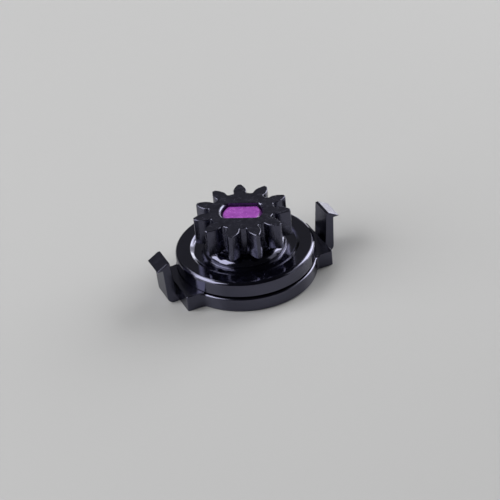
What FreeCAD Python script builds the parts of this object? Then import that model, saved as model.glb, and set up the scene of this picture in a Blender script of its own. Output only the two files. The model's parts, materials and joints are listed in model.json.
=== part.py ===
import FreeCAD, Part
import os
import re
import Sketcher

# Rotary damper with a pinion: a viscous brake that clips into a panel.
# Frame: origin at the bottom centre of the cup, +Z along the shaft, +X along the line of the two
# snap arms. All sizes are millimetres, all angles degrees. The sheet holds one value for each size.

doc = FreeCAD.newDocument("rotary_damper")
sheet = doc.addObject("Spreadsheet::Sheet", "sizes")

# Driving dimensions

SIZES = {
    # Rotor: the damping disc, its hub and foot, the journal and the keyed end of the shaft
    "disc_radius": 7.3,
    "disc_thickness": 1.8,
    "journal_radius": 2.9,
    "shaft_fit": 0.05,
    "hub_wall": 1.7,
    "foot_wall": 1.75,
    "thrust_gap": 0.05,
    "key_step": 0.14,
    "key_half": 1.81,
    "key_chamfer": 0.3,
    "key_recess": 0.4,
    "port_radius": 0.6,
    "port_count": 6,
    # Chamber round the disc: the gaps outside, below and above it, and the silicone's film beside it
    "disc_gap": 0.4,
    "disc_below": 0.35,
    "disc_above": 0.4,
    "film": 0.05,
    # Cup, moulded in one with the ears and the snap arms
    "base_floor": 0.9,
    "base_height": 2.08,
    "base_lip": 0.16,
    "base_chamfer": 0.15,
    "ring_wall": 0.8,
    "pin_radius": 1.2,
    "pin_height": 1.5,
    "pin_clear": 0.1,
    # Ears, the two stops that bear on the panel
    "ear_stand": 1.15,
    "ear_front": 4.85,
    "ear_back": 3.4,
    "ear_rise": 0.26,
    "ear_corner": 0.2,
    "ear_root": 0.8,
    "ear_gap": 0.05,
    # Snap arms: thickness at the root and below the hook, and how far the outer face leans out
    "arm_width": 3.5,
    "arm_gap": 0.37,
    "arm_root": 1.28,
    "arm_neck": 1.08,
    "arm_splay": 0.27,
    "arm_bend": 0.9,
    "arm_blend": 0.2,
    "blend_most": 0.48,
    "web_height": 1.1,
    "slit_round": 0.15,
    "panel_grip": 3.16,
    "hook_reach": 0.82,
    "hook_nose": 0.1,
    "hook_rise": 1.0,
    "hook_flat": 0.38,
    # Cover
    "cover_fit": 0.02,
    "cover_wall": 1.2,
    "cover_round": 0.5,
    "seam_gap": 0.28,
    "roof": 0.75,
    "rim_width": 2.07,
    "recess_slope": 0.55,
    "recess_depth": 0.36,
    "collar_wall": 1.86,
    "collar_height": 1.2,
    "collar_round": 0.9,
    "round_most": 0.9,
    # Seal ring
    "seal_section": 1.0,
    "seal_fit": 0.02,
    # Pinion, with a boss under it that clears the collar
    "boss_step": 0.35,
    "boss_gap": 0.1,
    "gear_module": 1.0,
    "gear_teeth": 11,
    "gear_shift": 0.25,
    "gear_pressure": 20,
    "gear_face": 3.9,
    "gear_lift": 0.8,
    "gear_root": 1.25,
    "root_round": 0.3,
    "tip_round": 0.14,
    "key_fit": 0.04,
    "key_turn": -29.5,
}
for row, (alias, number) in enumerate(SIZES.items(), start=1):
    sheet.set(f"A{row}", alias.replace("_", " "))
    sheet.set(f"B{row}", str(number))
    sheet.setAlias(f"B{row}", alias)
doc.recompute()


def size(alias):
    """The number that the sheet holds for one size."""
    return float(sheet.get(alias))


def sized(formula):
    """Turn a formula in plain aliases into an expression on the sheet."""
    def on_sheet(word):
        return f"sizes.{word[0]}" if word[0] in SIZES else word[0]
    return re.sub(r"[a-z]\w+", on_sheet, formula)


def worked_out(formula):
    """The number that a formula in plain aliases comes to."""
    answer = sheet.evalExpression(sized(formula))
    return float(getattr(answer, "Value", answer))


# Radii that follow from the sizes, each a formula in the sheet's aliases

CHAMBER_RADIUS = "(disc_radius + disc_gap)"
RING_RADIUS = f"({CHAMBER_RADIUS} + ring_wall)"
SKIRT_INSIDE = f"({RING_RADIUS} + cover_fit)"
COVER_RADIUS = f"({SKIRT_INSIDE} + cover_wall)"
BASE_RADIUS = f"({COVER_RADIUS} + base_lip)"
SEAT_EDGE = f"({COVER_RADIUS} + ear_gap)"
RECESS_RADIUS = f"({COVER_RADIUS} - rim_width)"
BORE_RADIUS = "(journal_radius + shaft_fit)"
SEAT_RADIUS = "(journal_radius + seal_section + seal_fit * 2)"
COLLAR_RADIUS = f"({SEAT_RADIUS} + collar_wall)"
HUB_RADIUS = "(journal_radius + hub_wall)"
FOOT_RADIUS = "(pin_radius + shaft_fit + foot_wall)"
KEY_RADIUS = "(journal_radius - key_step)"
PORT_CIRCLE = f"(({HUB_RADIUS} + disc_radius) / 2)"
# The collar's round stays under the collar's height.
CROWN_ROUND = "min(collar_round; collar_height * round_most)"

# Heights above the underside of the cup

DISC_BOTTOM = "(base_floor + disc_below)"
DISC_TOP = f"({DISC_BOTTOM} + disc_thickness)"
CEILING = f"({DISC_TOP} + disc_above)"
RECESS_FLOOR = f"({CEILING} + roof)"
COVER_TOP = f"({RECESS_FLOOR} + recess_depth)"
COLLAR_TOP = f"({RECESS_FLOOR} + collar_height)"
SEAT_TOP = f"({CEILING} + seal_section + seal_fit * 2)"
SEAM = "(base_height + seam_gap)"
EAR_TOP = "(base_height + ear_rise)"
FOOT_BOTTOM = "(base_floor + thrust_gap)"
PIN_TOP = "(base_floor + pin_height)"
HUB_TOP = f"({CEILING} - thrust_gap)"
BOSS_BOTTOM = f"({COLLAR_TOP} + boss_gap)"
GEAR_BOTTOM = f"({COLLAR_TOP} + gear_lift)"
GEAR_TOP = f"({GEAR_BOTTOM} + gear_face)"
KEY_TOP = f"({GEAR_TOP} - key_recess)"

# Ears and arms, measured outwards from the shaft axis, and the hook's heights

EAR_REACH = f"({BASE_RADIUS} + ear_stand)"
WEB_START = f"({EAR_REACH} - arm_gap)"
ARM_INSIDE = f"({EAR_REACH} + arm_gap)"
ARM_OUTSIDE = f"({ARM_INSIDE} + arm_root)"
BLEND = "min(arm_blend; arm_gap * blend_most)"
HOOK_UNDER = f"({EAR_TOP} + panel_grip)"
HOOK_NECK = f"({ARM_OUTSIDE} + arm_splay)"
HOOK_BACK = f"({HOOK_NECK} - arm_neck)"
HOOK_TIP = f"({HOOK_NECK} + hook_reach)"
HOOK_NOSE = f"({HOOK_UNDER} + hook_nose)"
ARM_TOP = f"({HOOK_UNDER} + hook_rise)"

# Pinion

PITCH_RADIUS = "(gear_module * gear_teeth / 2)"
BASE_CIRCLE = f"({PITCH_RADIUS} * cos(gear_pressure))"
TIP_RADIUS = f"({PITCH_RADIUS} + gear_module * (1 + gear_shift))"
ROOT_RADIUS = f"({PITCH_RADIUS} - gear_module * (gear_root - gear_shift))"
GAP_MOUTH = f"({TIP_RADIUS} + gear_module / 2)"
BOSS_RADIUS = f"({ROOT_RADIUS} - boss_step)"

# Where cutting outlines end outside the solid, and where what stands on the floor starts inside it
CLEAR_ABOVE = f"({EAR_TOP} * 2)"
RIGHT_THROUGH = f"({GEAR_TOP} * 3)"
IN_FLOOR = "(base_floor / 2)"


# Helpers that draw and build

def plane_of(body, role):
    """One of a body's own origin planes."""
    return next(item for item in body.Origin.OriginFeatures if item.Role == role)


def new_body(name):
    """A body with its own label, at the part's origin."""
    body = doc.addObject("PartDesign::Body", name)
    body.Label = name
    body.Placement = FreeCAD.Placement()
    return body


def new_sketch(body, name, role="XZ_Plane", height=None):
    """A sketch on one of the body's planes, raised along its normal by a formula where one is given."""
    sketch = body.newObject("Sketcher::SketchObject", name)
    sketch.AttachmentSupport = [(plane_of(body, role), "")]
    sketch.MapMode = "FlatFace"
    if height is not None:
        sketch.setExpression("AttachmentOffset.Base.z", sized(height))
    return sketch


def pin_point(sketch, line, end, across, up):
    """Hold one end of a sketch element at a place given by two formulas."""
    for kind, formula, axis in (("DistanceX", across, -2), ("DistanceY", up, -1)):
        if formula == "0":
            sketch.addConstraint(Sketcher.Constraint("PointOnObject", line, end, axis))
            continue
        rule = Sketcher.Constraint(kind, -1, 1, line, end, worked_out(formula))
        index = sketch.addConstraint(rule)
        sketch.setExpression(f"Constraints[{index}]", sized(formula))


def spot(place):
    """The point on a sketch that a pair of formulas comes to."""
    across, up = place
    return FreeCAD.Vector(worked_out(across), worked_out(up), 0)


def outline(sketch, corners):
    """A closed outline of straight lines through corners, each a pair of formulas."""
    places = [spot(corner) for corner in corners]
    first = sketch.GeometryCount
    count = len(corners)
    for step in range(count):
        sketch.addGeometry(Part.LineSegment(places[step], places[(step + 1) % count]), False)
    for step in range(count):
        here = first + step
        after = first + (step + 1) % count
        sketch.addConstraint(Sketcher.Constraint("Coincident", here, 2, after, 1))
    for step, (across, up) in enumerate(corners):
        pin_point(sketch, first + step, 1, across, up)


def circle(sketch, radius, across="0", up="0"):
    """A full circle whose radius and centre are formulas."""
    ring = Part.Circle(spot((across, up)), FreeCAD.Vector(0, 0, 1), worked_out(radius))
    line = sketch.addGeometry(ring, False)
    pin_point(sketch, line, 3, across, up)
    index = sketch.addConstraint(Sketcher.Constraint("Radius", line, worked_out(radius)))
    sketch.setExpression(f"Constraints[{index}]", sized(radius))


def turned(body, kind, name, corners):
    """Revolve an outline of radius and height pairs once round the shaft axis."""
    sketch = new_sketch(body, f"{name}_outline")
    outline(sketch, corners)
    feature = body.newObject(f"PartDesign::{kind}", name)
    feature.Profile = sketch
    feature.ReferenceAxis = (sketch, ["V_Axis"])
    feature.Angle = 360
    doc.recompute()
    return feature


def straight(body, kind, name, sketch, length, symmetric=False, against=False):
    """Pad or pocket a sketch along its normal, or against it, by a formula's length."""
    feature = body.newObject(f"PartDesign::{kind}", name)
    feature.Profile = sketch
    feature.Type = "Length"
    feature.setExpression("Length", sized(length))
    feature.SideType = "Symmetric" if symmetric else "One side"
    feature.Reversed = against
    doc.recompute()
    return feature


def edges_where(feature, test):
    """Names of the feature's edges that pass a test of the edge itself."""
    return [f"Edge{n}" for n, edge in enumerate(feature.Shape.Edges, start=1) if test(edge)]


def same(first, second):
    """Two lengths that agree to a thousandth of a millimetre."""
    return abs(first - second) < 0.001


def on_circle(radius, height):
    """A test for the circular edge of a given radius, centred on the shaft axis at a height."""
    def test(edge):
        if not isinstance(edge.Curve, Part.Circle):
            return False
        box = edge.BoundBox
        return same(edge.Curve.Radius, radius) and same(box.ZMin, height) and same(box.ZMax, height)
    return test


def rounded(body, name, kind, setting, formula, base, test):
    """Fillet or chamfer the edges of a feature that pass a test."""
    feature = body.newObject(f"PartDesign::{kind}", name)
    feature.Base = (base, edges_where(base, test))
    feature.setExpression(setting, sized(formula))
    doc.recompute()
    return feature


def mirrored(body, name, originals):
    """The same features again on the other side of the plane across the arms."""
    feature = body.newObject("PartDesign::Mirrored", name)
    feature.Originals = originals
    feature.MirrorPlane = (plane_of(body, "YZ_Plane"), [""])
    body.Tip = feature
    doc.recompute()
    return feature


# Cup with ears and snap arms

def make_housing_base():
    """The lower cup. The ears cross it as one bar, and the chamber is cut out of both."""
    body = new_body("housing_base")
    turned(body, "Revolution", "foot_disc", [
        ("0", "0"), (BASE_RADIUS, "0"), (BASE_RADIUS, "base_height"), ("0", "base_height")])
    bar_sketch = new_sketch(body, "ear_bar_outline", "XY_Plane")
    outline(bar_sketch, [
        (f"-{EAR_REACH}", "-ear_front"), (EAR_REACH, "-ear_front"),
        (EAR_REACH, "ear_back"), (f"-{EAR_REACH}", "ear_back")])
    bar = straight(body, "Pad", "ear_bar", bar_sketch, EAR_TOP)

    def upright(edge):
        box = edge.BoundBox
        on_side = same(box.YMin, -size("ear_front")) or same(box.YMin, size("ear_back"))
        return same(box.XLength, 0) and same(box.YLength, 0) and on_side

    def at_corner(edge):
        return upright(edge) and same(abs(edge.BoundBox.XMin), worked_out(EAR_REACH))

    def at_root(edge):
        return upright(edge) and abs(edge.BoundBox.XMin) < worked_out(BASE_RADIUS)

    corners = rounded(body, "ear_corners", "Fillet", "Radius", "ear_corner", bar, at_corner)
    roots = rounded(body, "ear_roots", "Fillet", "Radius", "ear_root", corners, at_root)

    # The cover sits in this recess, which leaves the ears standing a little above the seam.
    turned(body, "Groove", "cover_seat", [
        ("0", "base_height"), (SEAT_EDGE, "base_height"),
        (SEAT_EDGE, CLEAR_ABOVE), ("0", CLEAR_ABOVE)])
    turned(body, "Groove", "chamber", [
        ("0", "base_floor"), (CHAMBER_RADIUS, "base_floor"),
        (CHAMBER_RADIUS, CLEAR_ABOVE), ("0", CLEAR_ABOVE)])
    turned(body, "Revolution", "ring_wall", [
        (CHAMBER_RADIUS, IN_FLOOR), (RING_RADIUS, IN_FLOOR),
        (RING_RADIUS, CEILING), (CHAMBER_RADIUS, CEILING)])
    turned(body, "Revolution", "centre_pin", [
        ("0", IN_FLOOR), ("pin_radius", IN_FLOOR),
        ("pin_radius", PIN_TOP), ("0", PIN_TOP)])

    # One arm: out from the foot of the ear, round the bend, up, and over to the hook.
    arm_sketch = new_sketch(body, "arm_outline")
    outline(arm_sketch, [
        (WEB_START, "0"), (ARM_OUTSIDE, "0"), (HOOK_NECK, HOOK_UNDER), (HOOK_TIP, HOOK_UNDER),
        (HOOK_TIP, HOOK_NOSE), (f"{HOOK_BACK} + hook_flat", ARM_TOP), (HOOK_BACK, ARM_TOP),
        (ARM_INSIDE, "web_height"), (WEB_START, "web_height")])
    arm = straight(body, "Pad", "snap_arm", arm_sketch, "arm_width", symmetric=True)
    other = mirrored(body, "second_arm", [arm])

    def along_arm(place, height):
        """A test for edges across the arm at a distance from the middle and a height."""
        def test(edge):
            box = edge.BoundBox
            flat = same(box.XLength, 0) and same(box.ZLength, 0) and same(box.YLength, size("arm_width"))
            return flat and same(abs(box.XMin), place) and same(box.ZMin, height)
        return test

    at_bend = along_arm(worked_out(ARM_OUTSIDE), 0)
    bend = rounded(body, "arm_bends", "Fillet", "Radius", "arm_bend", other, at_bend)

    at_slit = along_arm(worked_out(ARM_INSIDE), size("web_height"))
    slit = rounded(body, "slit_rounds", "Fillet", "Radius", "slit_round", bend, at_slit)

    def beside_web(edge):
        box = edge.BoundBox
        up = same(box.XLength, 0) and same(box.YLength, 0)
        at_ear = same(abs(box.XMin), worked_out(EAR_REACH))
        return up and at_ear and same(abs(box.YMin), size("arm_width") / 2)

    # Two blends meet across the slit, so each stays under half of it.
    blend = rounded(body, "arm_blends", "Fillet", "Radius", BLEND, slit, beside_web)
    foot_edge = on_circle(worked_out(BASE_RADIUS), 0)
    rounded(body, "foot_chamfer", "Chamfer", "Size", "base_chamfer", blend, foot_edge)
    return body


# Cover

def make_cover():
    """The round cap: a skirt over the cup's ring, a recessed ring, a raised collar with the seal's seat."""
    body = new_body("cover")
    cap = turned(body, "Revolution", "cap", [
        (BORE_RADIUS, COLLAR_TOP), (BORE_RADIUS, SEAT_TOP), (SEAT_RADIUS, SEAT_TOP), (SEAT_RADIUS, CEILING),
        (SKIRT_INSIDE, CEILING), (SKIRT_INSIDE, SEAM), (COVER_RADIUS, SEAM),
        (COVER_RADIUS, COVER_TOP), (RECESS_RADIUS, COVER_TOP),
        (f"{RECESS_RADIUS} - recess_slope", RECESS_FLOOR), (COLLAR_RADIUS, RECESS_FLOOR),
        (COLLAR_RADIUS, COLLAR_TOP)])
    rim = on_circle(worked_out(COVER_RADIUS), worked_out(COVER_TOP))
    crown = on_circle(worked_out(COLLAR_RADIUS), worked_out(COLLAR_TOP))
    soft_rim = rounded(body, "rim_round", "Fillet", "Radius", "cover_round", cap, rim)
    rounded(body, "collar_round", "Fillet", "Radius", CROWN_ROUND, soft_rim, crown)
    return body


# Rotor

def double_d(sketch, radius, half):
    """Two arcs about the axis joined by two flats, turned by the key's angle."""
    reach = f"sqrt(({radius}) * ({radius}) - ({half}) * ({half}))"
    turn = "key_turn"
    ends = []
    for along, across in (("(-1)", "(-1)"), ("1", "(-1)"), ("1", "1"), ("(-1)", "1")):
        right = f"({along} * {reach} * cos({turn}) - {across} * ({half}) * sin({turn}))"
        up = f"({along} * {reach} * sin({turn}) + {across} * ({half}) * cos({turn}))"
        ends.append((right, up))
    spots = [spot(place) for place in ends]
    turn_now = FreeCAD.Rotation(FreeCAD.Vector(0, 0, 1), size("key_turn"))
    tip = turn_now.multVec(FreeCAD.Vector(worked_out(radius), 0, 0))
    near_flat = sketch.addGeometry(Part.LineSegment(spots[0], spots[1]), False)
    right_arc = sketch.addGeometry(Part.Arc(spots[1], tip, spots[2]), False)
    far_flat = sketch.addGeometry(Part.LineSegment(spots[2], spots[3]), False)
    left_arc = sketch.addGeometry(Part.Arc(spots[3], tip * -1, spots[0]), False)
    for line, (first, second) in ((near_flat, (0, 1)), (far_flat, (2, 3))):
        pin_point(sketch, line, 1, *ends[first])
        pin_point(sketch, line, 2, *ends[second])
    for arc, (before, after) in ((right_arc, (near_flat, far_flat)), (left_arc, (far_flat, near_flat))):
        sketch.addConstraint(Sketcher.Constraint("Coincident", before, 2, arc, 1))
        sketch.addConstraint(Sketcher.Constraint("Coincident", arc, 2, after, 1))
        index = sketch.addConstraint(Sketcher.Constraint("Radius", arc, worked_out(radius)))
        sketch.setExpression(f"Constraints[{index}]", sized(radius))


def make_rotor():
    """Shaft and damping disc in one: foot on the pin, disc with ports, thrust hub, journal, keyed end."""
    body = new_body("rotor")
    turned(body, "Revolution", "disc_and_journal", [
        ("0", FOOT_BOTTOM), (FOOT_RADIUS, FOOT_BOTTOM), (FOOT_RADIUS, DISC_BOTTOM),
        ("disc_radius", DISC_BOTTOM), ("disc_radius", DISC_TOP), (HUB_RADIUS, DISC_TOP),
        (HUB_RADIUS, HUB_TOP), ("journal_radius", HUB_TOP), ("journal_radius", BOSS_BOTTOM),
        ("0", BOSS_BOTTOM)])
    turned(body, "Groove", "pin_bore", [
        ("0", "0"), ("pin_radius + shaft_fit", "0"),
        ("pin_radius + shaft_fit", f"{PIN_TOP} + pin_clear"), ("0", f"{PIN_TOP} + pin_clear")])
    port_sketch = new_sketch(body, "port_outline", "XY_Plane")
    circle(port_sketch, "port_radius", PORT_CIRCLE)
    port = straight(body, "Pocket", "port", port_sketch, RIGHT_THROUGH, symmetric=True)
    ports = body.newObject("PartDesign::PolarPattern", "ports")
    ports.Originals = [port]
    ports.Axis = (port_sketch, ["N_Axis"])
    ports.Angle = 360
    ports.setExpression("Occurrences", sized("port_count"))
    body.Tip = ports
    doc.recompute()
    key_sketch = new_sketch(body, "key_outline", "XY_Plane", HUB_TOP)
    double_d(key_sketch, KEY_RADIUS, "key_half")
    key = straight(body, "Pad", "key", key_sketch, f"{KEY_TOP} - {HUB_TOP}")

    def at_end(edge):
        top = worked_out(KEY_TOP)
        return same(edge.BoundBox.ZMin, top) and same(edge.BoundBox.ZMax, top)

    rounded(body, "key_end", "Chamfer", "Size", "key_chamfer", key, at_end)
    return body


# Pinion

def half_gap(radius):
    """Half the angle between two teeth at a radius: the involute opens the gap outwards."""
    lean = f"acos({BASE_CIRCLE} / ({radius}))"
    here = f"(tan({lean}) * 180 / pi - {lean} / 1deg)"
    reference = "(tan(gear_pressure) * 180 / pi - gear_pressure)"
    tooth = "(90 + gear_shift * 360 / pi * tan(gear_pressure)) / gear_teeth"
    return f"(180 / gear_teeth - {tooth} - {reference} + {here})"


def polar(radius, angle):
    """Formulas for the place at a radius and an angle."""
    return f"({radius}) * cos({angle})", f"({radius}) * sin({angle})"


def tooth_gap(sketch):
    """The space between two teeth: two flanks, radial feet and the root's arc, about the sketch's axis."""
    middle = f"(({BASE_CIRCLE} + {GAP_MOUTH}) / 2)"
    narrow = half_gap(BASE_CIRCLE)
    sides = {}
    for sign in ("1", "(-1)"):
        foot = polar(BASE_CIRCLE, f"{sign} * {narrow}")
        waist = polar(middle, f"{sign} * {half_gap(middle)}")
        mouth = polar(GAP_MOUTH, f"{sign} * {half_gap(GAP_MOUTH)}")
        root = polar(ROOT_RADIUS, f"{sign} * {narrow}")
        spots = [spot(place) for place in (foot, waist, mouth, root)]
        # Both arcs run anticlockwise: out from the foot on the left flank, in towards it on the right.
        foot_end = 1 if sign == "1" else 2
        along = spots[:3] if sign == "1" else spots[2::-1]
        flank = sketch.addGeometry(Part.Arc(*along), False)
        foot_line = sketch.addGeometry(Part.LineSegment(spots[3], spots[0]), False)
        belly = sketch.addGeometry(Part.Point(spots[1]), True)
        pin_point(sketch, flank, foot_end, *foot)
        pin_point(sketch, flank, 3 - foot_end, *mouth)
        pin_point(sketch, belly, 1, *waist)
        sketch.addConstraint(Sketcher.Constraint("PointOnObject", belly, 1, flank))
        sketch.addConstraint(Sketcher.Constraint("Coincident", foot_line, 2, flank, foot_end))
        sides[sign] = (flank, 3 - foot_end, foot_line, spots, root)
    left, right = sides["1"], sides["(-1)"]
    mouth_line = sketch.addGeometry(Part.LineSegment(right[3][2], left[3][2]), False)
    sketch.addConstraint(Sketcher.Constraint("Coincident", mouth_line, 1, right[0], right[1]))
    sketch.addConstraint(Sketcher.Constraint("Coincident", mouth_line, 2, left[0], left[1]))
    bottom = FreeCAD.Vector(worked_out(ROOT_RADIUS), 0, 0)
    root_arc = sketch.addGeometry(Part.Arc(right[3][3], bottom, left[3][3]), False)
    sketch.addConstraint(Sketcher.Constraint("Coincident", root_arc, 3, -1, 1))
    index = sketch.addConstraint(Sketcher.Constraint("Radius", root_arc, worked_out(ROOT_RADIUS)))
    sketch.setExpression(f"Constraints[{index}]", sized(ROOT_RADIUS))
    for side, end in ((right, 1), (left, 2)):
        sketch.addConstraint(Sketcher.Constraint("Coincident", root_arc, end, side[2], 1))
        index = sketch.addConstraint(
            Sketcher.Constraint("DistanceY", -1, 1, side[2], 1, worked_out(side[4][1])))
        sketch.setExpression(f"Constraints[{index}]", sized(side[4][1]))


def make_pinion():
    """The spur pinion: a blank with one tooth gap cut through it and repeated, a boss and a keyed bore."""
    body = new_body("pinion_gear")
    turned(body, "Revolution", "blank", [
        ("0", GEAR_BOTTOM), (TIP_RADIUS, GEAR_BOTTOM), (TIP_RADIUS, GEAR_TOP), ("0", GEAR_TOP)])
    gap_sketch = new_sketch(body, "gap_outline", "XY_Plane")
    gap_sketch.setExpression("AttachmentOffset.Rotation.Angle", sized("key_turn + 180 / gear_teeth"))
    tooth_gap(gap_sketch)
    gap = straight(body, "Pocket", "tooth_gap", gap_sketch, RIGHT_THROUGH, symmetric=True)
    gaps = body.newObject("PartDesign::PolarPattern", "tooth_gaps")
    gaps.Originals = [gap]
    gaps.Axis = (gap_sketch, ["N_Axis"])
    gaps.Angle = 360
    gaps.setExpression("Occurrences", sized("gear_teeth"))
    body.Tip = gaps
    doc.recompute()

    def upright_at(radius):
        """A test for upright edges at a distance from the shaft axis."""
        def test(edge):
            box = edge.BoundBox
            up = same(box.XLength, 0) and same(box.YLength, 0)
            return up and same((box.XMin ** 2 + box.YMin ** 2) ** 0.5, radius)
        return test

    roots = rounded(body, "root_rounds", "Fillet", "Radius", "root_round", gaps,
                    upright_at(worked_out(ROOT_RADIUS)))
    rounded(body, "tip_rounds", "Fillet", "Radius", "tip_round", roots,
            upright_at(worked_out(TIP_RADIUS)))
    turned(body, "Revolution", "boss", [
        ("0", BOSS_BOTTOM), (BOSS_RADIUS, BOSS_BOTTOM), (BOSS_RADIUS, GEAR_BOTTOM), ("0", GEAR_BOTTOM)])
    bore_sketch = new_sketch(body, "bore_outline", "XY_Plane")
    double_d(bore_sketch, f"{KEY_RADIUS} + key_fit * 2", "key_half + key_fit")
    straight(body, "Pocket", "keyed_bore", bore_sketch, RIGHT_THROUGH, symmetric=True)
    return body


# Seal and fluid

def make_seal_ring():
    """The O-ring round the journal, in the seat under the collar."""
    ring = doc.addObject("Part::Torus", "seal_ring")
    ring.Label = "seal_ring"
    ring.setExpression("Radius1", sized("journal_radius + seal_fit + seal_section / 2"))
    ring.setExpression("Radius2", sized("seal_section / 2"))
    ring.setExpression("Placement.Base.z", sized(f"{CEILING} + seal_fit + seal_section / 2"))
    doc.recompute()
    return ring


def make_fluid():
    """The silicone below, outside and above the disc, with a film's gap to the disc."""
    body = new_body("silicone_fluid")
    turned(body, "Revolution", "fill", [
        (f"{FOOT_RADIUS} + film", "base_floor"), (CHAMBER_RADIUS, "base_floor"), (CHAMBER_RADIUS, CEILING),
        (f"{HUB_RADIUS} + film", CEILING), (f"{HUB_RADIUS} + film", f"{DISC_TOP} + film"),
        ("disc_radius + film", f"{DISC_TOP} + film"), ("disc_radius + film", f"{DISC_BOTTOM} - film"),
        (f"{FOOT_RADIUS} + film", f"{DISC_BOTTOM} - film")])
    return body


pieces = [make_housing_base(), make_cover(), make_rotor(), make_pinion(), make_seal_ring(), make_fluid()]
doc.recompute()

# Check every object, then write one file for each piece

for item in doc.Objects:
    if "Invalid" in item.State or "Error" in item.State:
        raise RuntimeError(f"{item.Label} did not build: {item.State}")
for piece in pieces:
    shape = piece.Shape
    if shape.isNull() or not shape.isValid() or len(shape.Solids) != 1:
        raise RuntimeError(f"{piece.Label} is not one valid solid")
os.makedirs("parts", exist_ok=True)
for piece in pieces:
    piece.Shape.exportStep(f"parts/{piece.Label}.step")
    box = piece.Shape.optimalBoundingBox(False)
    print(f"{piece.Label}: {piece.Shape.Volume:.1f} mm3, "
          f"{box.XLength:.2f} x {box.YLength:.2f} x {box.ZLength:.2f} mm, bottom at {box.ZMin:.2f}")
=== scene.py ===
# %% [markdown]
# A rotary damper: a round cup with a cover, two snap arms, and a toothed pinion on a purple shaft. It
# is 27.5 mm long, so everything below is small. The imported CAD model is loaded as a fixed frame, and
# the surfaces that show are built again round it with fine rounds on their edges, because it is the
# rounds that catch the studio lights on black plastic.

# %% Load the frame
import json

import bmesh
import bpy
import numpy as np
from mathutils import Matrix, Vector


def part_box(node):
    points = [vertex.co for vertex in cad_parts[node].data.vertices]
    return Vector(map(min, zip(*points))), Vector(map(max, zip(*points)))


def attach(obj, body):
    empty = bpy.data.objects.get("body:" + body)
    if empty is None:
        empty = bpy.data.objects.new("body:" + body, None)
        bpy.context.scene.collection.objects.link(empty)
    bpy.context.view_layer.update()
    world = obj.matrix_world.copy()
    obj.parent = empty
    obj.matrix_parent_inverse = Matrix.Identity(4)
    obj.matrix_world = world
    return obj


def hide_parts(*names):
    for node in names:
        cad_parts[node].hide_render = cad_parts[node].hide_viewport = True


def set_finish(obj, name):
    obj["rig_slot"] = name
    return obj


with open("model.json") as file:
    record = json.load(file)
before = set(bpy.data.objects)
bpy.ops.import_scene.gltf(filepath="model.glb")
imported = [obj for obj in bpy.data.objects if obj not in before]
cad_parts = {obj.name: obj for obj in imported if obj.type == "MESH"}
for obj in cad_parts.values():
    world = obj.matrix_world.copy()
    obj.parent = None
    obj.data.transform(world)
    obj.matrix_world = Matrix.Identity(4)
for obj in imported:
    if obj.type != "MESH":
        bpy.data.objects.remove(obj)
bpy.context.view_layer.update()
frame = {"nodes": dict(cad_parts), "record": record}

print("nodes:", ", ".join(sorted(frame["nodes"])))

# %% [markdown]
# Sizes are in millimetres, as on a workshop drawing, and become metres only when a mesh is made. The
# heights and radii that the frame can give are read from it, so that a new surface sits exactly where
# the CAD piece does. The rest are the sizes of rounds, recesses and teeth.

# %% Sizes from the frame
MM = 0.001


def measured(node):
    """Lowest and highest corner of a CAD node, in millimetres."""
    low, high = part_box(node)
    return np.array(low) / MM, np.array(high) / MM


base_high = measured("housing_base")[1]
cover_low, cover_high = measured("cover")
gear_low, gear_high = measured("pinion_gear")

BASE_RADIUS = base_high[1]
COVER_RADIUS = cover_high[0]
SEAM = cover_low[2]
COLLAR_TOP = cover_high[2]
BOSS_BOTTOM = gear_low[2]
GEAR_TOP = gear_high[2]
HOOK_TIP = base_high[0]
ARM_TOP = base_high[2]
print(f"cover radius {COVER_RADIUS:.2f}, seam {SEAM:.2f}, pinion from {BOSS_BOTTOM:.2f} to {GEAR_TOP:.2f}")

# %% [markdown]
# Every shape here starts as a closed outline: the section of a turned piece, or the side view of a
# straight one. Real moulded edges are never sharp, so one function turns a list of corners into an
# outline with an arc at each corner. Points just beside each arc keep the flats next to it flat when
# the surface is shaded smooth. Blender's Bevel modifier could do this too, but it works on what the
# mesh happens to be, while a formula gives each edge of the moulding its own round.

# %% Outlines with rounded corners
GUARD = 0.02
FLAT_SHARE = 1 / 3
TINY = 1e-9
RIM_STEPS = 6


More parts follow.
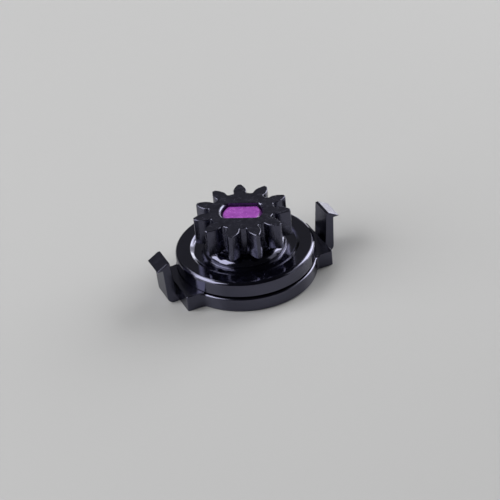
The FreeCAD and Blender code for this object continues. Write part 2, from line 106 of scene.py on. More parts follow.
def softened(corners, rounds, steps=7):
    """Closed outline through 2-D corners with an arc of radius r at each corner that has a round.

    With a and b the directions from the corner back along one side and on along the next, the arc
    touches both sides at r / tan(half the angle between a and b), and its centre lies on the bisector
    at r / sin(half that angle). Corners with no round stay single points. Beyond each end of an arc
    stands one more point, GUARD away, or FLAT_SHARE of the flat that is left where that is less.
    """
    corners = np.asarray(corners, float)
    rounds = np.broadcast_to(np.asarray(rounds, float), len(corners))
    back = np.roll(corners, 1, axis=0) - corners
    ahead = np.roll(corners, -1, axis=0) - corners
    back_length = np.linalg.norm(back, axis=1)
    ahead_length = np.linalg.norm(ahead, axis=1)
    a = back / back_length[:, None]
    b = ahead / ahead_length[:, None]
    half = np.arccos(np.clip((a * b).sum(1), -1, 1)) / 2
    touch = rounds / np.tan(half)
    bisector = a + b
    bisector /= np.maximum(np.linalg.norm(bisector, axis=1), TINY)[:, None]
    centre = corners + bisector * (rounds / np.sin(half))[:, None]
    first = corners + a * touch[:, None]
    last = corners + b * touch[:, None]
    start = np.arctan2(*(first - centre).T[::-1])
    sweep = (np.arctan2(*(last - centre).T[::-1]) - start + np.pi) % (2 * np.pi) - np.pi
    angle = start[:, None] + sweep[:, None] * np.linspace(0, 1, steps + 1)
    arc = centre[:, None] + rounds[:, None, None] * np.stack([np.cos(angle), np.sin(angle)], axis=-1)
    room_back = back_length - touch - np.roll(touch, 1)
    room_ahead = ahead_length - touch - np.roll(touch, -1)
    before = first + a * np.minimum(GUARD, room_back * FLAT_SHARE)[:, None]
    after = last + b * np.minimum(GUARD, room_ahead * FLAT_SHARE)[:, None]
    path = np.concatenate([before[:, None], arc, after[:, None]], axis=1)
    kept = np.ones(path.shape[:2], bool)
    kept[rounds == 0] = False
    kept[rounds == 0, 1] = True
    return path[kept]


def outward(outline):
    """Normals of a closed anticlockwise outline: the mean direction of a point's sides, turned right."""
    side = np.roll(outline, -1, axis=0) - outline
    side /= np.maximum(np.linalg.norm(side, axis=1), TINY)[:, None]
    along = side + np.roll(side, 1, axis=0)
    along /= np.maximum(np.linalg.norm(along, axis=1), TINY)[:, None]
    return np.stack([along[:, 1], -along[:, 0]], axis=-1)


def rim(edge):
    """A quarter round of radius e: e (1 - cos t) in from the wall, and e (1 - sin t) under the face."""
    turn = np.linspace(0, np.pi / 2, RIM_STEPS + 1)
    return edge * (1 - np.cos(turn)), edge * (1 - np.sin(turn))


# %% [markdown]
# A surface is a grid of points: rings one after another, each ring closed on itself. Four neighbours
# make a face, so the faces are worked out from the grid's own numbering with no loop. Rings that
# shrink to one point close a pole, and merging the doubles there turns its faces into triangles. An
# edge where two faces meet at more than the crease angle is drawn sharp, and all others smooth.

# %% From a grid of points to a piece
MERGE = 0.0002
CREASE = np.radians(32)


def skin(name, rings, caps=False, closed=False):
    """Mesh object through rings, an array of rows x columns x 3 in millimetres.

    Point (i, j) joins (i, j + 1), (i + 1, j + 1) and (i + 1, j), with columns taken round. Caps close the
    first and the last ring with one flat face each, and closed joins the last ring to the first.
    """
    rows, columns = rings.shape[:2]
    index = np.arange(rows * columns).reshape(rows, columns)
    strip = np.vstack([index, index[:1]]) if closed else index
    beside = np.roll(strip, -1, axis=1)
    faces = np.stack([strip[:-1], beside[:-1], beside[1:], strip[1:]], axis=-1).reshape(-1, 4).tolist()
    if caps:
        faces += [index[0, ::-1].tolist(), index[-1].tolist()]
    mesh = bpy.data.meshes.new(name)
    mesh.from_pydata((rings.reshape(-1, 3) * MM).tolist(), [], faces)
    work = bmesh.new()
    work.from_mesh(mesh)
    bmesh.ops.remove_doubles(work, verts=work.verts, dist=MERGE * MM)
    bmesh.ops.recalc_face_normals(work, faces=work.faces)
    loose = sum(not edge.is_manifold for edge in work.edges)
    work.to_mesh(mesh)
    work.free()
    mesh.shade_smooth()
    mesh.set_sharp_from_angle(angle=CREASE)
    piece = bpy.data.objects.new(name, mesh)
    bpy.context.scene.collection.objects.link(piece)
    print(f"{name}: {len(mesh.vertices)} points, {len(mesh.polygons)} faces, {loose} open edges")
    return piece


def stands_for(piece, node, body, slot):
    """The piece is shown in place of a CAD node, moves with its body and takes that material slot."""
    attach(piece, body)
    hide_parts(node)
    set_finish(piece, slot)


# %% [markdown]
# A turned piece is its section carried round the shaft: a point at radius r and height z goes to
# (r cos a, r sin a, z). With the section closed and clear of the axis the result is a ring with no pole.
# Blender's Screw modifier turns a section as well, but leaves a seam to merge where the last step
# meets the first, while a grid that is closed on itself has none.

# %% Turned surfaces
TURN_STEPS = 288


def turned(section):
    """Rings of a lathe surface: row i is the section's point i at every angle a = 2 pi j / TURN_STEPS."""
    angle = np.arange(TURN_STEPS) * 2 * np.pi / TURN_STEPS
    radius, height = section.T[:, :, None]
    level = np.broadcast_to(height, (len(section), TURN_STEPS))
    return np.stack([radius * np.cos(angle), radius * np.sin(angle), level], axis=-1)


# %% [markdown]
# The cover is one turned moulding. From the bore outwards: a raised collar with a generous round, a
# shallow recessed ring whose outer wall slopes up, a flat rim, and a straight wall down to the seam.
# Under it are the seat of the seal ring and the skirt that goes over the cup. Each row of its section
# is a corner's radius, its height and its round. The rounds decide how wide the white arcs are that
# the lamps draw on the cover, so each was matched with the photograph.

# %% The cover
RECESS_FLOOR = 4.2
COVER_TOP = 4.56
RECESS_RADIUS = 7.65
SLOPE_FOOT = 7.1
COLLAR_RADIUS = 5.8
BORE_RADIUS = 2.95
SKIRT_INSIDE = 8.52
CEILING = 3.45
SEAL_SEAT_RADIUS = 3.94
SEAL_SEAT_TOP = 4.49
BORE_ROUND = 0.12
INSIDE_ROUND = 0.05
SKIRT_ROUND = 0.07
RIM_ROUND = 0.5
RECESS_ROUND = 0.12
SLOPE_ROUND = 0.6
COLLAR_FOOT_ROUND = 0.08
COLLAR_ROUND = 1.1

cover_section = np.array([
    (BORE_RADIUS, COLLAR_TOP, BORE_ROUND), (BORE_RADIUS, SEAL_SEAT_TOP, 0),
    (SEAL_SEAT_RADIUS, SEAL_SEAT_TOP, 0), (SEAL_SEAT_RADIUS, CEILING, INSIDE_ROUND),
    (SKIRT_INSIDE, CEILING, 0), (SKIRT_INSIDE, SEAM, INSIDE_ROUND),
    (COVER_RADIUS, SEAM, SKIRT_ROUND), (COVER_RADIUS, COVER_TOP, RIM_ROUND),
    (RECESS_RADIUS, COVER_TOP, RECESS_ROUND), (SLOPE_FOOT, RECESS_FLOOR, SLOPE_ROUND),
    (COLLAR_RADIUS, RECESS_FLOOR, COLLAR_FOOT_ROUND), (COLLAR_RADIUS, COLLAR_TOP, COLLAR_ROUND)])
cover_outline = softened(cover_section[:, :2], cover_section[:, 2], steps=9)
cover = skin("cover_cap", turned(cover_outline), closed=True)
stands_for(cover, "cover", "housing", "cover")

# %% [markdown]
# The pinion has eleven teeth. The flank of a tooth is an involute: at radius r beyond the base circle
# its angle from the tooth's middle is a constant less inv(p), where cos p = base radius / r and
# inv(p) = tan p - p. Below the base circle the flank runs straight in to the root. The corners of one
# tooth are worked out in polar form, repeated round the shaft and softened: small rounds at the tip
# and larger ones at the root.

# %% One tooth, and the whole outline
TEETH = 11
MODULE = 1.0
SHIFT = 0.25
PRESSURE = np.radians(20)
PITCH_RADIUS = MODULE * TEETH / 2
BASE_CIRCLE = PITCH_RADIUS * np.cos(PRESSURE)
TIP_RADIUS = PITCH_RADIUS + MODULE * (1 + SHIFT)
ROOT_RADIUS = PITCH_RADIUS - MODULE
KEY_TURN = np.radians(-29.5)
TIP_ROUND = 0.14
ROOT_ROUND = 0.3
FLANK_END = 0.3
FLANK_STEPS = 8


def half_tooth(radius):
    """Angle from the middle of a tooth to its flank.

    It is (pi / 2 + 2 shift tan(pressure)) / teeth + inv(pressure) - inv(p).
    """
    lean = np.arccos(np.minimum(BASE_CIRCLE / radius, 1))
    pitch_angle = (np.pi / 2 + 2 * SHIFT * np.tan(PRESSURE)) / TEETH
    return pitch_angle + np.tan(PRESSURE) - PRESSURE - (np.tan(lean) - lean)


flank = np.linspace(BASE_CIRCLE, TIP_RADIUS - FLANK_END, FLANK_STEPS)
side_radius = np.concatenate([[ROOT_RADIUS], flank, [TIP_RADIUS]])
side_angle = half_tooth(np.maximum(side_radius, BASE_CIRCLE))
side_round = np.concatenate([[ROOT_ROUND], np.zeros(len(flank)), [TIP_ROUND]])
tooth_radius = np.concatenate([[ROOT_RADIUS], side_radius, [TIP_RADIUS], side_radius[::-1]])
tooth_angle = np.concatenate([[-np.pi / TEETH], -side_angle, [0], side_angle[::-1]])
tooth_round = np.concatenate([[0], side_round, [0], side_round[::-1]])

spin = KEY_TURN + np.arange(TEETH)[:, None] * 2 * np.pi / TEETH
gear_angle = (spin + tooth_angle).ravel()
gear_radius = np.tile(tooth_radius, TEETH)
gear_corners = np.stack([gear_radius * np.cos(gear_angle), gear_radius * np.sin(gear_angle)], axis=-1)
gear_outline = softened(gear_corners, np.tile(tooth_round, TEETH), steps=6)
print(f"pinion outline: {len(gear_outline)} points, radius {ROOT_RADIUS:.2f} to {TIP_RADIUS:.2f}")

# %% [markdown]
# In the middle of the pinion is the keyed hole, a circle with two flats, which takes the end of the
# shaft and turns with it. In the direction t its edge lies at the smaller of the circle's radius and
# half the width over |sin t|. Its points stand in the directions of the pinion's own points, so that
# one grid can run from one to the other, and those nearest to the four corners are moved on to them.
# The mouth is well rounded on the two arcs, to lead the shaft in, and nearly sharp along the flats.

# %% The keyed hole
SLOT_RADIUS = 2.84
SLOT_HALF = 1.85
FLAT_EDGE = 0.06
MOUTH_EDGE = 0.4
MOUTH_FADE = np.radians(9)
SLACK = 1e-6

slot_direction = np.arctan2(gear_outline[:, 1], gear_outline[:, 0]) - KEY_TURN
flat_end = np.arcsin(SLOT_HALF / SLOT_RADIUS)
slot_corners = np.array([flat_end, np.pi - flat_end, np.pi + flat_end, -flat_end])
apart = np.angle(np.exp(1j * (slot_direction[:, None] - slot_corners)))
slot_direction[np.abs(apart).argmin(0)] = slot_corners
across = np.sin(slot_direction)
to_flat = SLOT_HALF / np.maximum(np.abs(across), SLACK)
on_arc = to_flat >= SLOT_RADIUS - SLACK
slot_reach = np.minimum(SLOT_RADIUS, to_flat)
slot_normal = np.where(
    on_arc[:, None], np.stack([np.cos(slot_direction), across], -1),
    np.stack([np.zeros_like(across), np.sign(across)], -1))
key_rotation = np.array([[np.cos(KEY_TURN), np.sin(KEY_TURN)], [-np.sin(KEY_TURN), np.cos(KEY_TURN)]])
slot_outline = slot_reach[:, None] * np.stack([np.cos(slot_direction), across], -1) @ key_rotation
slot_normal = slot_normal @ key_rotation
from_flat = flat_end - np.arctan2(np.abs(across), np.abs(np.cos(slot_direction)))
slot_edge = FLAT_EDGE + (MOUTH_EDGE - FLAT_EDGE) * np.clip(from_flat / MOUTH_FADE, 0, 1)
print(f"keyed hole: {2 * SLOT_RADIUS:.2f} mm across, {2 * SLOT_HALF:.2f} mm between the flats")

# %% [markdown]
# The pinion's body is its outline carried up, with a fine round at both faces, then in over the top to
# the keyed hole, down through it, and up round the boss underneath, so that its grid closes on itself.
# A Boolean would cut the hole too, but leaves long thin faces round it, which spoil a smooth shade.

# %% The pinion
GEAR_WIDTH = 3.9
GEAR_BOTTOM = GEAR_TOP - GEAR_WIDTH
GEAR_EDGE = 0.1
BOSS_RADIUS = 4.15
BOSS_EDGE = 0.08


def levels(outline, normals, edge, low, high, inwards=1):
    """Rings of an upright wall from low to high whose two edges have a round of radius edge.

    Each ring is the outline moved along its normals by the rim's inset, at the rim's depth from the
    nearer face. The edge may differ from point to point, and inwards is -1 for the wall of a hole.
    """
    edge = np.broadcast_to(edge, len(outline))
    inset, depth = (np.outer(share, edge) for share in rim(1.0))
    inset = np.vstack([edge * 0, inset, edge + GUARD])
    depth = np.vstack([edge + GUARD, depth, edge * 0])
    moved = outline - inwards * normals * np.concatenate([inset[::-1], inset])[..., None]
    height = np.concatenate([low + depth[::-1], high - depth])
    return np.concatenate([moved, height[..., None]], axis=-1)


wall = levels(gear_outline, outward(gear_outline), GEAR_EDGE, GEAR_BOTTOM, GEAR_TOP)
hole = levels(slot_outline, slot_normal, slot_edge, BOSS_BOTTOM, GEAR_TOP, inwards=-1)[::-1]
boss_ray = gear_outline / np.linalg.norm(gear_outline, axis=1)[:, None]
boss = levels(BOSS_RADIUS * boss_ray, boss_ray, BOSS_EDGE, BOSS_BOTTOM, GEAR_BOTTOM)
boss_foot = boss[:len(boss) // 2]
boss_end = np.concatenate([BOSS_RADIUS * boss_ray, np.full((len(boss_ray), 1), GEAR_BOTTOM)], axis=-1)
pinion = skin("pinion", np.concatenate([wall, hole, boss_foot, boss_end[None]]), closed=True)
stands_for(pinion, "pinion_gear", "rotor", "pinion")

# %% [markdown]
# The cup and its two ears are one moulding. Seen from above its outline is a circle with a block on
# each side, and every ray from the shaft meets that outline once, so the whole cup can be one grid:
# each column runs from the middle of the underside, out, up the wall, over the top, down into the
# chamber and in to the centre pin. The ears reach further to the front than to the back, so a quarter
# of the outline is worked out for each, and the left side mirrors the right.

# %% Outline of the cup and its ears
EAR_REACH = 11.03
EAR_FRONT = 4.85
EAR_BACK = 3.4
EAR_TOP = 2.34
EAR_CORNER = 0.2
EAR_ROOT = 0.8
BASE_HEIGHT = 2.08
SEAT_EDGE = 9.77
SEAT_OFF_EARS = 9.5
EAR_SPREAD = 0.9
EAR_EDGE = 0.07
CUP_EDGE = 0.25
FOOT_CHAMFER = 0.15
STEP_EDGE = 0.04
END_STEPS = 9
SIDE_STEPS = 7
CORNER_STEPS = 9
BOW_STEPS = 61


def arc(centre, radius, start, end, steps):
    """Points centre + radius (cos a, sin a), with a from start to end in degrees, and their normals."""
    angle = np.radians(np.linspace(start, end, steps))
    ray = np.stack([np.cos(angle), np.sin(angle)], axis=-1)
    return np.asarray(centre) + radius * ray, ray


def quarter(half):
    """A quarter of the cup from above, with an ear that reaches half from the middle line.

    Returns the outline, its normals, the points of the cover's seat that go with it, the height of the
    top, the round at the top and the chamfer at the foot. The seat's points are shared out so that the
    line from the side of the ear runs straight along its side. Beside the ear, over the fillet at its
    root, the values of the ear pass over into those of the cup.
    """
    root_x = np.sqrt((BASE_RADIUS + EAR_ROOT) ** 2 - (half + EAR_ROOT) ** 2)
    root_angle = np.degrees(np.arctan2(half + EAR_ROOT, root_x))
    corner_x, corner_y = EAR_REACH - EAR_CORNER, half - EAR_CORNER
    end_face = np.stack([np.full(END_STEPS, EAR_REACH), np.linspace(0, corner_y - GUARD, END_STEPS)], -1)
    corner, corner_ray = arc((corner_x, corner_y), EAR_CORNER, 0, 90, CORNER_STEPS)
    side_face = np.stack([np.linspace(corner_x - GUARD, root_x, SIDE_STEPS), np.full(SIDE_STEPS, half)], -1)
    fillet, fillet_ray = arc((root_x, half + EAR_ROOT), EAR_ROOT, 270, 180 + root_angle, CORNER_STEPS)
    bow, bow_ray = arc((0, 0), BASE_RADIUS, root_angle, 90, BOW_STEPS)
    outline = np.concatenate([end_face, corner, side_face, fillet, bow])
    normal = np.concatenate([
        np.tile([1.0, 0.0], (END_STEPS, 1)), corner_ray, np.tile([0.0, 1.0], (SIDE_STEPS, 1)),
        -fillet_ray, bow_ray])
    on_ear = END_STEPS + CORNER_STEPS + SIDE_STEPS
    off_ear = len(outline) - on_ear
    to_cup = np.concatenate([np.zeros(on_ear), np.linspace(0, 1, CORNER_STEPS), np.ones(BOW_STEPS)])
    across = np.concatenate([
        np.linspace(0, half * EAR_SPREAD, END_STEPS + CORNER_STEPS),
        np.linspace(half * EAR_SPREAD, half, SIDE_STEPS + 1)[1:]])
    ear_seat = np.stack([np.sqrt(SEAT_EDGE ** 2 - across ** 2), across], -1)
    turn = np.concatenate([
        np.linspace(np.arcsin(half / SEAT_EDGE), np.radians(root_angle), CORNER_STEPS),
        np.radians(np.linspace(root_angle, 90, BOW_STEPS))])
    seat_radius = SEAT_EDGE + (SEAT_OFF_EARS - SEAT_EDGE) * to_cup[on_ear:]
    cup_seat = seat_radius[:, None] * np.stack([np.cos(turn), np.sin(turn)], -1)
    top = np.repeat([EAR_TOP, BASE_HEIGHT], [on_ear, off_ear])
    edge = EAR_EDGE + (CUP_EDGE - EAR_EDGE) * to_cup
    chamfer = STEP_EDGE + (FOOT_CHAMFER - STEP_EDGE) * to_cup
    return outline, normal, np.concatenate([ear_seat, cup_seat]), top, edge, chamfer


# %% [markdown]
# Mirrored and put one after another, two back and two front quarters go right round the cup. Every
# other one is turned end for end, so that the points run on in the same direction.

# %% Four quarters
def all_round(back, front):
    """Values of the back and the front quarter carried right round, anticlockwise from the X axis."""
    left, both, right = ((-1, 1), (-1, -1), (1, -1)) if back.ndim > 1 else (1, 1, 1)
    return np.concatenate([back, (back * left)[::-1], front * both, (front * right)[::-1]])


plan, plan_normal, seat, top, edge, chamfer = map(all_round, quarter(EAR_BACK), quarter(EAR_FRONT))
print(f"cup outline: {len(plan)} points, {plan[:, 0].max():.2f} mm to the side")

# %% [markdown]
# Up the wall the outline keeps its shape, but for the chamfer at the foot and the round at the top. An
# ear's top stands a quarter of a millimetre above the rest, because the panel rests on it, and steps
# down at the cover's seat. Inside are the ring that carries the cover, the chamber for the silicone,
# and the pin on which the rotor turns.

# %% The cup
RING_RADIUS = 8.5
CHAMBER_RADIUS = 7.7
CHAMBER_FLOOR = 0.9
PIN_RADIUS = 1.2
PIN_TOP = 2.4

seat_ray = seat / np.linalg.norm(seat, axis=1)[:, None]
step = np.minimum(STEP_EDGE, (top - BASE_HEIGHT) / 2)


def ring(flat, height):
    """Points (x, y, height) of one ring, whose height may differ from point to point."""
    return np.concatenate([flat, np.broadcast_to(height, len(flat))[:, None]], axis=-1)


rows = [ring(plan * 0, 0.0), ring(plan * 0.5, 0.0)]
rows.append(ring(plan - plan_normal * (chamfer + GUARD)[:, None], 0.0))
rows += [
    ring(plan - plan_normal * (chamfer * share)[:, None], chamfer * (1 - share)) for share in (1, 0.5, 0)]
rows.append(ring(plan, chamfer + GUARD))
rows.append(ring(plan, top - edge - GUARD))
rows += [
    ring(plan - plan_normal * (edge * inset)[:, None], top - edge * depth)
    for inset, depth in zip(*rim(1.0))]
rows.append(ring(plan - plan_normal * (edge + GUARD)[:, None], top))
rows.append(ring(seat + seat_ray * (step + GUARD)[:, None], top))
rows += [
    ring(seat + seat_ray * (step * (1 - inset))[:, None], top - step * (1 - depth))
    for inset, depth in zip(*rim(1.0))]
rows.append(ring(seat, BASE_HEIGHT))
inside = [
    (RING_RADIUS, BASE_HEIGHT), (RING_RADIUS, CEILING), (CHAMBER_RADIUS, CEILING),
    (CHAMBER_RADIUS, CHAMBER_FLOOR), (PIN_RADIUS, CHAMBER_FLOOR), (PIN_RADIUS, PIN_TOP), (0, PIN_TOP)]
rows += [ring(seat_ray * radius, height) for radius, height in inside]
cup = skin("cup_with_ears", np.stack(rows))
stands_for(cup, "housing_base", "housing", "housing")

# %% [markdown]
# A snap arm has the same side view all along its width: out from the ear under a narrow slit, round
# the bend, up with a slight lean, and over into the hook. Its outline is softened at every corner and
# carried across, with a fine round where the two side faces begin. It could be an extruded curve, but
# the rings here are the ones that the other pieces have. Its inner end is hidden in the ear, and the
# left arm is the right one mirrored. Each row is a corner's X, its height and its round.

# %% The snap arms
ARM_GAP = 0.37
ARM_THICKNESS = 1.28
ARM_OUTSIDE = EAR_REACH + ARM_GAP + ARM_THICKNESS
HOOK_UNDER = 5.5
HOOK_NOSE = 5.6
HOOK_CATCH = 0.82
HOOK_NECK = HOOK_TIP - HOOK_CATCH
HOOK_THICKNESS = 1.08
HOOK_BACK = HOOK_NECK - HOOK_THICKNESS
HOOK_FLAT = 0.38
WEB_HEIGHT = 1.1
ARM_HALF = 1.75
ARM_EDGE = 0.08
EMBED = 0.3
BEND_ROUND = 0.9
NECK_ROUND = 0.06
CATCH_ROUND = 0.04
NOSE_ROUND = 0.05
HOOK_ROUND = 0.08
SLIT_ROUND = 0.15

arm_profile = np.array([
    (EAR_REACH - EMBED, 0, 0), (ARM_OUTSIDE, 0, BEND_ROUND), (HOOK_NECK, HOOK_UNDER, NECK_ROUND),
    (HOOK_TIP, HOOK_UNDER, CATCH_ROUND), (HOOK_TIP, HOOK_NOSE, NOSE_ROUND),
    (HOOK_BACK + HOOK_FLAT, ARM_TOP, HOOK_ROUND), (HOOK_BACK, ARM_TOP, HOOK_ROUND),
    (EAR_REACH + ARM_GAP, WEB_HEIGHT, SLIT_ROUND), (EAR_REACH - EMBED, WEB_HEIGHT, 0)])
arm_outline = softened(arm_profile[:, :2], arm_profile[:, 2])


def across_arm(outline, half, edge):
    """Rings of a straight bar along Y: the outline in X and Z at each place from -half to half.

    Near each side it is drawn in along its normals by the rim's inset, at the rim's depth.
    """
    normal = outward(outline)
    inset, depth = rim(edge)
    insets = np.concatenate([[edge + GUARD], inset[::-1], [0, 0], inset, [edge + GUARD]])
    flat = half - np.concatenate([[0], depth[::-1], [edge + GUARD]])
    places = np.concatenate([-flat, flat[::-1]])
    moved = outline - normal * insets[:, None, None]
    level = np.broadcast_to(places[:, None], moved.shape[:2])
    return np.stack([moved[..., 0], level, moved[..., 1]], axis=-1)


arm_rings = across_arm(arm_outline, ARM_HALF, ARM_EDGE)
arms = [
    skin(f"snap_arm_{side}", arm_rings * (sign, 1, 1), caps=True)
    for side, sign in (("right", 1), ("left", -1))]
for arm in arms:
    stands_for(arm, "housing_base", "housing", "housing")

# %% [markdown]
# Finishes are networks of nodes. Written out one link at a time they are hard to read, so a small
# class wraps a socket and gives it Python's signs for plus and times: an expression such as
# 0.1 + 0.2 * worn adds its own Math nodes.

# %% Shader arithmetic
class Shade:
    """A socket of a finish, with the signs of arithmetic."""

    def __init__(self, finish, socket):
        self.finish = finish
        self.socket = socket

    def math(self, operation, first, second):
        return self.finish.node("ShaderNodeMath", {"operation": operation}, {0: first, 1: second})

    def __add__(self, other):
        return self.math("ADD", self, other)

    def __radd__(self, other):
        return self.math("ADD", other, self)

    def __mul__(self, other):
        return self.math("MULTIPLY", self, other)

    def __rmul__(self, other):
        return self.math("MULTIPLY", other, self)


# %% [markdown]
# Every other kind of node comes from one method, which serves the materials and the world alike. The
# patterns are noise on Object coordinates, which are places on the piece itself: they have no seams,
# and a pattern on them turns with its piece, as a mark on the real one does.

# %% Nodes of a finish
class Finish:
    """The nodes of a material, or of the world, in the making."""

    def __init__(self, owner):
        self.owner = owner
        self.owner.use_nodes = True
        self.tree = self.owner.node_tree
        self.tree.nodes.clear()

    def node(self, kind, settings=None, sockets=None, out=0):
        """One node of a kind: its settings first, then the values or links of its sockets."""
        made = self.tree.nodes.new(kind)
        for word, setting in (settings or {}).items():
            setattr(made, word, setting)
        for socket, value in (sockets or {}).items():
            if isinstance(value, Shade):
                self.tree.links.new(value.socket, made.inputs[socket])
            else:
                made.inputs[socket].default_value = value
        return Shade(self, made.outputs[out]) if made.outputs else None

    def place(self):
        """Places in metres on the piece itself."""
        return self.node("ShaderNodeTexCoord", out="Object")

    def noise(self, scale, detail=3.0, roughness=0.5, place=None):
        """Cloudy numbers from 0 to 1, with a scale in features a metre."""
        sockets = {
            "Vector": place or self.place(), "Scale": scale, "Detail": detail, "Roughness": roughness}
        return self.node("ShaderNodeTexNoise", {}, sockets, "Fac")

    def drawn(self, share):
        """Places whose height counts only by a share, which draws a noise out into upright streaks."""
        sockets = {0: self.place(), 1: (1.0, 1.0, share)}
        return self.node("ShaderNodeVectorMath", {"operation": "MULTIPLY"}, sockets)

    def lathed(self):
        """Places as (distance from the shaft axis, 0, height), which turns a noise into rings."""
        flat = self.drawn(0.0)
        radius = self.node("ShaderNodeVectorMath", {"operation": "LENGTH"}, {0: flat}, "Value")
        height = self.node("ShaderNodeSeparateXYZ", {}, {0: self.place()}, "Z")
        return self.node("ShaderNodeCombineXYZ", {}, {"X": radius, "Z": height})

    def clamp(self, value, low, high):
        """A number moved from the range low to high on to 0 to 1, and held there."""
        sockets = {"Value": value, "From Min": low, "From Max": high}
        return self.node("ShaderNodeMapRange", {"clamp": True}, sockets)

    def mix(self, share, first, second):
        """A colour that is first where share is 0 and second where it is 1: sockets 6 and 7 of Mix."""
        sockets = {0: share, 6: (*first, 1.0), 7: (*second, 1.0)}
        return self.node("ShaderNodeMix", {"data_type": "RGBA"}, sockets, 2)

    def bump(self, height, distance, under=None):
        """A normal from a height of 0 to 1 that stands for a distance in metres, over another normal."""
        sockets = {"Height": height, "Distance": distance, "Strength": 1.0}
        if under:
            sockets["Normal"] = under
        return self.node("ShaderNodeBump", {}, sockets)

    def plastic(self, **sockets):
        """A shader of the usual kind: what is given goes to the sockets of the same name."""
        named = {word.replace("_", " "): value for word, value in sockets.items()}
        return self.node("ShaderNodeBsdfPrincipled", {}, named, "BSDF")

    def output(self, shader, kind="ShaderNodeOutputMaterial"):
        """End the network with a shader, and give the finished material or world."""
        self.node(kind, {}, {"Surface": shader})
        return self.owner


# %% [markdown]
# The black plastics differ mainly in their gloss. The cover came out of a polished mould: nearly
# black, with a clear reflection, and the faint rings that turning left in the mould. The cup is the
# same plastic from a plainer mould. The pinion is satin and a little worn, with fine streaks up its
# teeth where it was pushed out of its mould. One function makes them all, because they are one kind
# of plastic in different colours. An image texture could show such marks too, but noise stays sharp
# however near the camera comes. The black ones share a cool reflection, set as a constant tint.

# %% Moulded plastic
COOL = (0.72, 0.72, 1.0, 1.0)
WHITE = (1.0, 1.0, 1.0, 1.0)
CLOUDS_PER_METRE = 700.0
GRAINS_PER_METRE = 9000.0
WORN_PER_METRE = 1400.0
MARKS_PER_METRE = 4500.0
CLOUDS_IN_GRAIN = 0.3
GRAIN_IN_GLOSS = 0.04
STREAK_HEIGHT = 0.05
REFRACTION = 1.75


def moulded(name, dark, pale, gloss, grain, wear=0.06, marks=None, mark_height=0.0, tint=COOL):
    """Moulded plastic: colour clouds between dark and pale, roughness gloss, and a grain's bump height.

    Worn places are rougher by up to wear. Marks of the mould, where they are given, are a function
    that gives the places for their noise, and they stand mark_height above the rest.
    """
    finish = Finish(bpy.data.materials.new(name))
    clouds = finish.noise(CLOUDS_PER_METRE, detail=5.0, roughness=0.65)
    fine = finish.noise(GRAINS_PER_METRE, roughness=0.6)
    worn = finish.clamp(finish.noise(WORN_PER_METRE, detail=2.0), low=0.45, high=0.75)
    normal = finish.bump(fine * (1 - CLOUDS_IN_GRAIN) + clouds * CLOUDS_IN_GRAIN, grain)
    if marks:
        lines = finish.noise(MARKS_PER_METRE, roughness=0.6, place=marks(finish))
        normal = finish.bump(lines, mark_height, normal)
    return finish.output(finish.plastic(
        Base_Color=finish.mix(finish.clamp(clouds, low=0.3, high=0.7), dark, pale),
        Roughness=gloss + wear * worn + GRAIN_IN_GLOSS * fine,
        Normal=normal, Specular_Tint=tint, Specular_IOR_Level=1.0, IOR=REFRACTION))


def streaks(finish):
    """Places for marks that run up a wall, a twentieth as close along it as across."""
    return finish.drawn(STREAK_HEIGHT)


# %% [markdown]
# Each finish goes by the record's name for its material slot. New pieces take the finish of the slot
# that they were given above. The CAD nodes take the one that the record gives them: the rotor, the seal
# ring and the silicone are shown as they are, because their solids have the right shape already.

# %% The six finishes
finishes = {
    "cover": moulded(
        "cover_black", (0.0008, 0.0008, 0.0022), (0.002, 0.002, 0.0045), gloss=0.09, grain=1.0e-6,
        marks=Finish.lathed, mark_height=1.2e-6),
    "housing": moulded(
        "housing_black", (0.0008, 0.0008, 0.0025), (0.002, 0.002, 0.0045), gloss=0.15, grain=2.0e-6),
    "pinion": moulded(
        "pinion_satin", (0.0008, 0.0008, 0.003), (0.009, 0.009, 0.015), gloss=0.17, grain=1.2e-5,
        wear=0.14, marks=streaks, mark_height=1.6e-5),
    "rotor": moulded(
        "rotor_purple", (0.27, 0.045, 0.36), (0.46, 0.1, 0.58), gloss=0.2, grain=1.0e-5,
        wear=0.15, tint=WHITE),
    "seal": moulded("seal_rubber", (0.01, 0.01, 0.01), (0.02, 0.02, 0.02), gloss=0.5, grain=4.0e-6),
    "fluid": moulded("silicone", (0.6, 0.6, 0.58), (0.7, 0.7, 0.66), gloss=0.1, grain=1.0e-6)}
slot_of = {row["node"]: row["material_slot"] for row in frame["record"]["subparts"]}
for piece in (cover, pinion, cup, *arms):
    piece.data.materials.append(finishes[piece["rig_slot"]])
for name, node in frame["nodes"].items():
    node.data.materials.clear()
    node.data.materials.append(finishes[slot_of[name]])
print("finishes:", ", ".join(finishes))

# %% [markdown]
# The camera stands where the photograph was taken. Its place comes from matching the damper's circles
# and hooks with it: bearing and elevation in degrees, a slight roll, and the distance at which a lens
# of 144 mm gives the same perspective. The small shift puts the lens's axis where it was in the
# photograph. The camera's own axes are worked out first: back from the target, right, and up.

# %% Camera
TARGET = Vector((0, 0, 0.004))
DISTANCE = 0.278309
ELEVATION = np.radians(33.88)
AZIMUTH = np.radians(-21.0)
ROLL = np.radians(-5.664)
FOCAL_PIXELS = 2000
PHOTO_SIDE = 500
OPTICAL_CENTRE = (245.163, 246.957)
SENSOR = 36

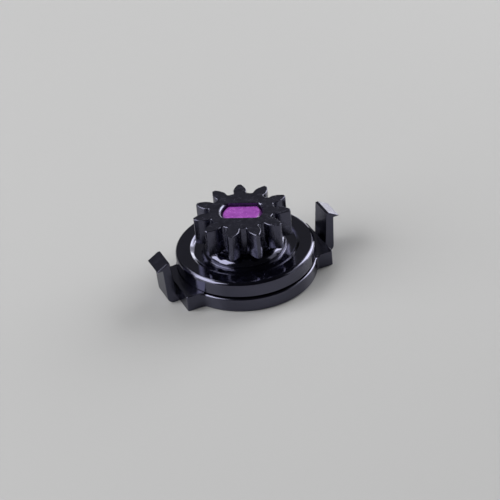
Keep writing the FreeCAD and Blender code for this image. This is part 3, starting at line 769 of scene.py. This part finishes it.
camera_data = bpy.data.cameras.new("camera")
camera_data.sensor_width = SENSOR
camera_data.lens = FOCAL_PIXELS / PHOTO_SIDE * SENSOR
camera_data.shift_x = 0.5 - OPTICAL_CENTRE[0] / PHOTO_SIDE
camera_data.shift_y = OPTICAL_CENTRE[1] / PHOTO_SIDE - 0.5
camera_data.clip_start = 0.01
camera = bpy.data.objects.new("camera", camera_data)
bpy.context.scene.collection.objects.link(camera)
back = Vector((
    np.sin(AZIMUTH) * np.cos(ELEVATION), -np.cos(AZIMUTH) * np.cos(ELEVATION), np.sin(ELEVATION)))
right = (-back).cross(Vector((0, 0, 1))).normalized()
up = right.cross(-back)
rolled_right = np.cos(ROLL) * right + np.sin(ROLL) * up
rolled_up = -np.sin(ROLL) * right + np.cos(ROLL) * up
turn = Matrix((rolled_right, rolled_up, back)).transposed().to_4x4()
camera.matrix_world = Matrix.Translation(TARGET + back * DISTANCE) @ turn
bpy.context.scene.camera = camera
print(f"camera: lens {camera_data.lens:.0f} mm, {1000 * DISTANCE:.0f} mm from the damper")

# %% [markdown]
# Black plastic shows little but reflections, so the places of the lamps decide where the rounds turn
# white. A broad panel on the left draws the white arcs at the left of the collar, the recess and the
# rim. A wide one on the right with a brighter core does so on that side, and also lights the top of
# the right hook and the mouth of the keyed hole. A small one stands low behind it, a thin one high at
# the back, and two dim ones fill in. The flat tops mirror only the dimmest, and stay nearly black.
# All are flat lamps at half a metre, large against something 27 mm long, so their light is soft.

# %% Lamps
def panel(name, bearing, elevation, distance, width, height, brightness):
    """A flat lamp that faces the damper from a bearing in degrees, 0 along X and 90 along Y.

    Its power in watts is pi x brightness x area, so that in a mirror a brightness of 1 looks white.
    """
    data = bpy.data.lights.new(name, "AREA")
    data.shape = "RECTANGLE"
    data.size = width
    data.size_y = height
    data.energy = np.pi * brightness * width * height
    lamp = bpy.data.objects.new(name, data)
    lamp.visible_camera = False
    across, climb = np.radians(bearing), np.radians(elevation)
    ray = Vector((np.cos(across) * np.cos(climb), np.sin(across) * np.cos(climb), np.sin(climb)))
    facing = ray.to_track_quat("Z", "Y").to_matrix().to_4x4()
    lamp.matrix_world = Matrix.Translation(ray * distance) @ facing
    bpy.context.scene.collection.objects.link(lamp)
    return lamp


lamps = [
    panel("left_panel", 172, 32, 0.53, 0.5, 0.46, 4.3),
    panel("right_panel", 14, 26, 0.5, 0.62, 0.42, 1.2),
    panel("right_core_panel", 14, 25, 0.49, 0.34, 0.34, 4.6),
    panel("right_back_panel", 51, 5.5, 0.5, 0.2, 0.1, 3.6),
    panel("right_front_panel", 325, 20, 0.5, 0.2, 0.3, 0.5),
    panel("high_back_panel", 130, 56, 0.5, 0.42, 0.14, 3.0),
    panel("dim_back_panel", 90, 30, 0.6, 0.7, 0.4, 0.08)]
print(f"{len(lamps)} lamps, {sum(lamp.data.energy for lamp in lamps):.2f} W together")

# %% [markdown]
# The damper stands on plain pale paper. Seen directly, the paper is dull. What the plastic mirrors of
# it is a little darker and smoother, so that the upright walls, which mirror the floor, come out a dark
# grey as on the real part. Light Path's Is Glossy Ray tells the two apart. The room round it is dim,
# which keeps the blacks deep, and Is Camera Ray puts the paper's grey behind the horizon, so that the
# background is plain from every side.

# %% Floor and room
FLOOR_REACH = 2.0
FLOOR_GREY = 0.5
MIRRORED_GREY = 0.36
ROOM_GREY = 0.015


def grey(level):
    """An opaque grey."""
    return (level, level, level, 1.0)


floor_corners = np.array([(-1, -1, 0), (1, -1, 0), (1, 1, 0), (-1, 1, 0)]) * FLOOR_REACH
floor_mesh = bpy.data.meshes.new("floor")
floor_mesh.from_pydata(floor_corners.tolist(), [], [(0, 1, 2, 3)])
floor = bpy.data.objects.new("floor", floor_mesh)
bpy.context.scene.collection.objects.link(floor)
floor_finish = Finish(bpy.data.materials.new("pale_floor"))
paper = floor_finish.plastic(Base_Color=grey(FLOOR_GREY), Roughness=0.9)
mirrored_paper = floor_finish.plastic(
    Base_Color=grey(MIRRORED_GREY), Roughness=0.3, Specular_IOR_Level=0.2)
in_reflection = floor_finish.node("ShaderNodeLightPath", out="Is Glossy Ray")
floor_mesh.materials.append(floor_finish.output(
    floor_finish.node("ShaderNodeMixShader", {}, {0: in_reflection, 1: paper, 2: mirrored_paper})))

room = Finish(bpy.data.worlds.new("room"))
dim = room.node("ShaderNodeBackground", {}, {"Color": grey(ROOM_GREY)})
backdrop = room.node("ShaderNodeBackground", {}, {"Color": grey(FLOOR_GREY)})
seen = room.node("ShaderNodeLightPath", out="Is Camera Ray")
bpy.context.scene.world = room.output(
    room.node("ShaderNodeMixShader", {}, {0: seen, 1: dim, 2: backdrop}), "ShaderNodeOutputWorld")
bpy.context.scene.view_settings.view_transform = "Standard"
print(f"floor grey {FLOOR_GREY}, mirrored {MIRRORED_GREY}, room {ROOM_GREY}")
